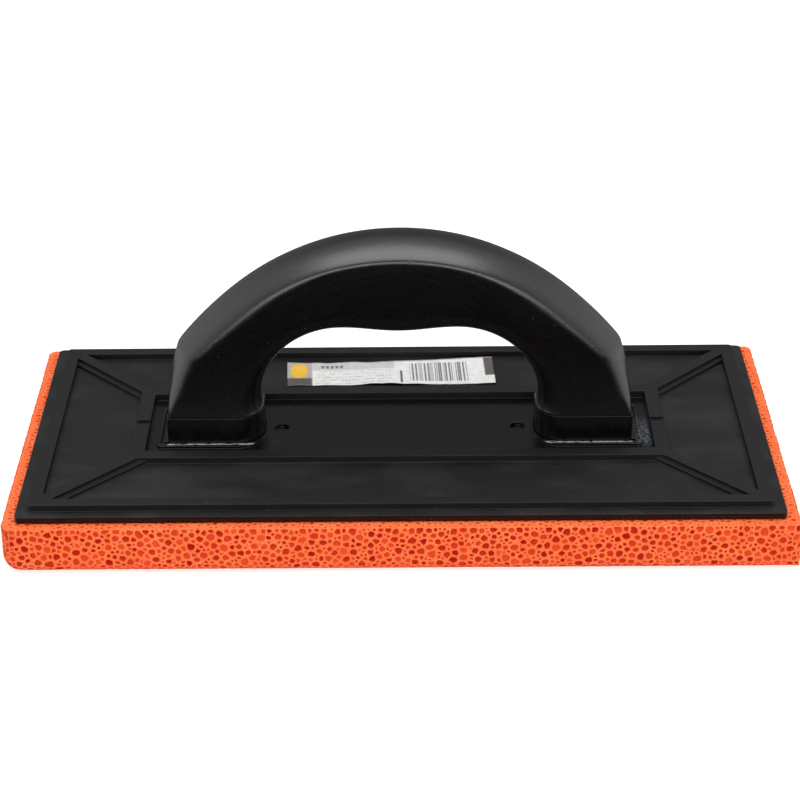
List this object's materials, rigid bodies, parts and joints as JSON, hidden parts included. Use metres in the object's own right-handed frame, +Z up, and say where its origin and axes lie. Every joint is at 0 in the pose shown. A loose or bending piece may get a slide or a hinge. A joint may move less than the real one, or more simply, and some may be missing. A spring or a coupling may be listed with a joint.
{
  "type": "grout float",
  "caption": "Grout float with a coarse sponge pad bonded under a ribbed plastic backing plate and a hollow D-shaped handle screwed on from below.",
  "frame": {"origin": "middle of the sponge's working face, at the bottom of the object", "axes": "+X along the float's length, +Y across it from front to back, +Z up from the working face to the handle"},
  "size_m": [0.28, 0.14, 0.0996],
  "materials": {
    "sponge": "open coarse-pored foam",
    "adhesive": "satin",
    "plate_plastic": "satin moulded",
    "grip_plastic": "fine matte texture",
    "screw_steel": "zinc plated",
    "label_film": "printed film"
  },
  "bodies": {
    "root": {"sponge_pad": "sponge", "adhesive_layer": "adhesive", "backing_plate": "plate_plastic", "handle": "grip_plastic", "left_foot": "grip_plastic", "right_foot": "grip_plastic", "handle_screws": "screw_steel", "product_label": "label_film"}
  },
  "joints": []
}
